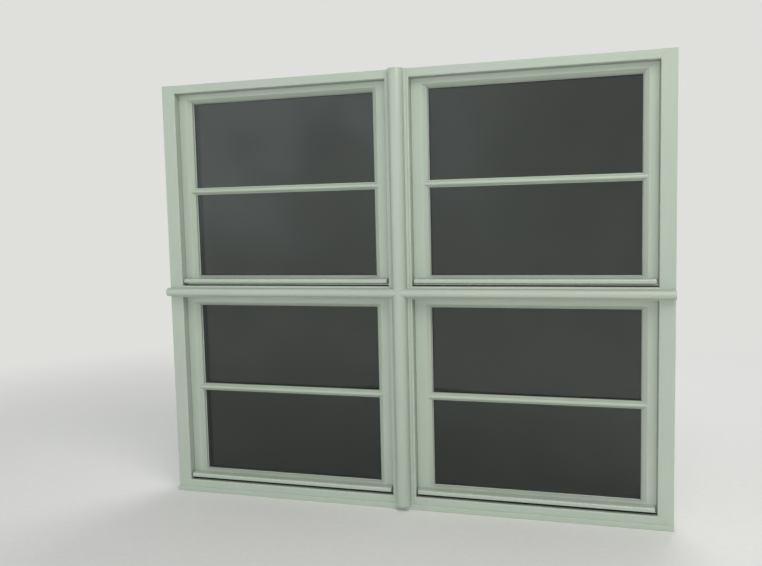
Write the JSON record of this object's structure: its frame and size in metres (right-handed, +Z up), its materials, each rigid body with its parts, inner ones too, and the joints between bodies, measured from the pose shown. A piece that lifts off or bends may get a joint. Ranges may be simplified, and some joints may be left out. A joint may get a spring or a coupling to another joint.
{
  "type": "casement window",
  "caption": "Painted timber casement window: fixed mullion and transom with half-round mouldings, and an inward-opening glazed sash with a glazing bar and weather bar in each light.",
  "frame": {"origin": "middle of the underside of the frame, at its outer face", "axes": "+X to the right seen from outside, +Y from outside into the room, +Z up"},
  "size_m": [1.5, 0.1582, 1.28],
  "materials": {
    "paint": "satin",
    "glass": "clear",
    "spacer": "satin",
    "gasket": "matt",
    "hardware": "satin",
    "handle": "satin"
  },
  "bodies": {
    "frame": {"left_jamb": "paint", "right_jamb": "paint", "head": "paint", "sill_rail": "paint", "mullion": "paint", "left_transom": "paint", "right_transom": "paint", "mullion_moulding": "paint", "left_transom_moulding": "paint", "right_transom_moulding": "paint", "foot_strip": "paint", "frame_gaskets": "gasket", "frame_hinge_leaves": "hardware", "keeps": "hardware"},
    "upper_left_sash": {"upper_left_stiles": "paint", "upper_left_rails": "paint", "upper_left_weather_bar": "paint", "upper_left_panes": "glass", "upper_left_spacer": "spacer", "upper_left_glazing_bars": "paint", "upper_left_beads": "paint", "upper_left_hinge_leaves": "hardware", "upper_left_rosette": "handle"},
    "upper_left_turning_handle": {"upper_left_handle": "handle"},
    "upper_left_sliding_rod": {"upper_left_lock_rod": "hardware"},
    "upper_right_sash": {"upper_right_stiles": "paint", "upper_right_rails": "paint", "upper_right_weather_bar": "paint", "upper_right_panes": "glass", "upper_right_spacer": "spacer", "upper_right_glazing_bars": "paint", "upper_right_beads": "paint", "upper_right_hinge_leaves": "hardware", "upper_right_rosette": "handle"},
    "upper_right_turning_handle": {"upper_right_handle": "handle"},
    "upper_right_sliding_rod": {"upper_right_lock_rod": "hardware"},
    "lower_left_sash": {"lower_left_stiles": "paint", "lower_left_rails": "paint", "lower_left_weather_bar": "paint", "lower_left_panes": "glass", "lower_left_spacer": "spacer", "lower_left_glazing_bars": "paint", "lower_left_beads": "paint", "lower_left_hinge_leaves": "hardware", "lower_left_rosette": "handle"},
    "lower_left_turning_handle": {"lower_left_handle": "handle"},
    "lower_left_sliding_rod": {"lower_left_lock_rod": "hardware"},
    "lower_right_sash": {"lower_right_stiles": "paint", "lower_right_rails": "paint", "lower_right_weather_bar": "paint", "lower_right_panes": "glass", "lower_right_spacer": "spacer", "lower_right_glazing_bars": "paint", "lower_right_beads": "paint", "lower_right_hinge_leaves": "hardware", "lower_right_rosette": "handle"},
    "lower_right_turning_handle": {"lower_right_handle": "handle"},
    "lower_right_sliding_rod": {"lower_right_lock_rod": "hardware"}
  },
  "joints": [
    {"name": "upper_left_swing", "type": "hinge", "parent": "frame", "child": "upper_left_sash", "pos_m": [-0.737, 0.08, 0.9585], "axis": [0, 0, 1], "range_deg": [0, 90]},
    {"name": "upper_left_handle_turn", "type": "hinge", "parent": "upper_left_sash", "child": "upper_left_turning_handle", "pos_m": [-0.042, 0.0963, 0.9585], "axis": [0, -1, 0], "range_deg": [0, 90]},
    {"name": "upper_left_rod_slide", "type": "slide", "parent": "upper_left_sash", "child": "upper_left_sliding_rod", "axis": [0, 0, -1], "range_m": [0, 0.018]},
    {"name": "upper_right_swing", "type": "hinge", "parent": "frame", "child": "upper_right_sash", "pos_m": [0.737, 0.08, 0.9585], "axis": [0, 0, -1], "range_deg": [0, 90]},
    {"name": "upper_right_handle_turn", "type": "hinge", "parent": "upper_right_sash", "child": "upper_right_turning_handle", "pos_m": [0.042, 0.0963, 0.9585], "axis": [0, 1, 0], "range_deg": [0, 90]},
    {"name": "upper_right_rod_slide", "type": "slide", "parent": "upper_right_sash", "child": "upper_right_sliding_rod", "axis": [0, 0, -1], "range_m": [0, 0.018]},
    {"name": "lower_left_swing", "type": "hinge", "parent": "frame", "child": "lower_left_sash", "pos_m": [-0.737, 0.08, 0.331], "axis": [0, 0, 1], "range_deg": [0, 90]},
    {"name": "lower_left_handle_turn", "type": "hinge", "parent": "lower_left_sash", "child": "lower_left_turning_handle", "pos_m": [-0.042, 0.0963, 0.331], "axis": [0, -1, 0], "range_deg": [0, 90]},
    {"name": "lower_left_rod_slide", "type": "slide", "parent": "lower_left_sash", "child": "lower_left_sliding_rod", "axis": [0, 0, -1], "range_m": [0, 0.018]},
    {"name": "lower_right_swing", "type": "hinge", "parent": "frame", "child": "lower_right_sash", "pos_m": [0.737, 0.08, 0.331], "axis": [0, 0, -1], "range_deg": [0, 90]},
    {"name": "lower_right_handle_turn", "type": "hinge", "parent": "lower_right_sash", "child": "lower_right_turning_handle", "pos_m": [0.042, 0.0963, 0.331], "axis": [0, 1, 0], "range_deg": [0, 90]},
    {"name": "lower_right_rod_slide", "type": "slide", "parent": "lower_right_sash", "child": "lower_right_sliding_rod", "axis": [0, 0, -1], "range_m": [0, 0.018]}
  ],
  "couplings": [
    {"joint": "upper_left_rod_slide", "follows": "upper_left_handle_turn", "m_per_rad": 0.011459},
    {"joint": "upper_right_rod_slide", "follows": "upper_right_handle_turn", "m_per_rad": 0.011459},
    {"joint": "lower_left_rod_slide", "follows": "lower_left_handle_turn", "m_per_rad": 0.011459},
    {"joint": "lower_right_rod_slide", "follows": "lower_right_handle_turn", "m_per_rad": 0.011459}
  ]
}
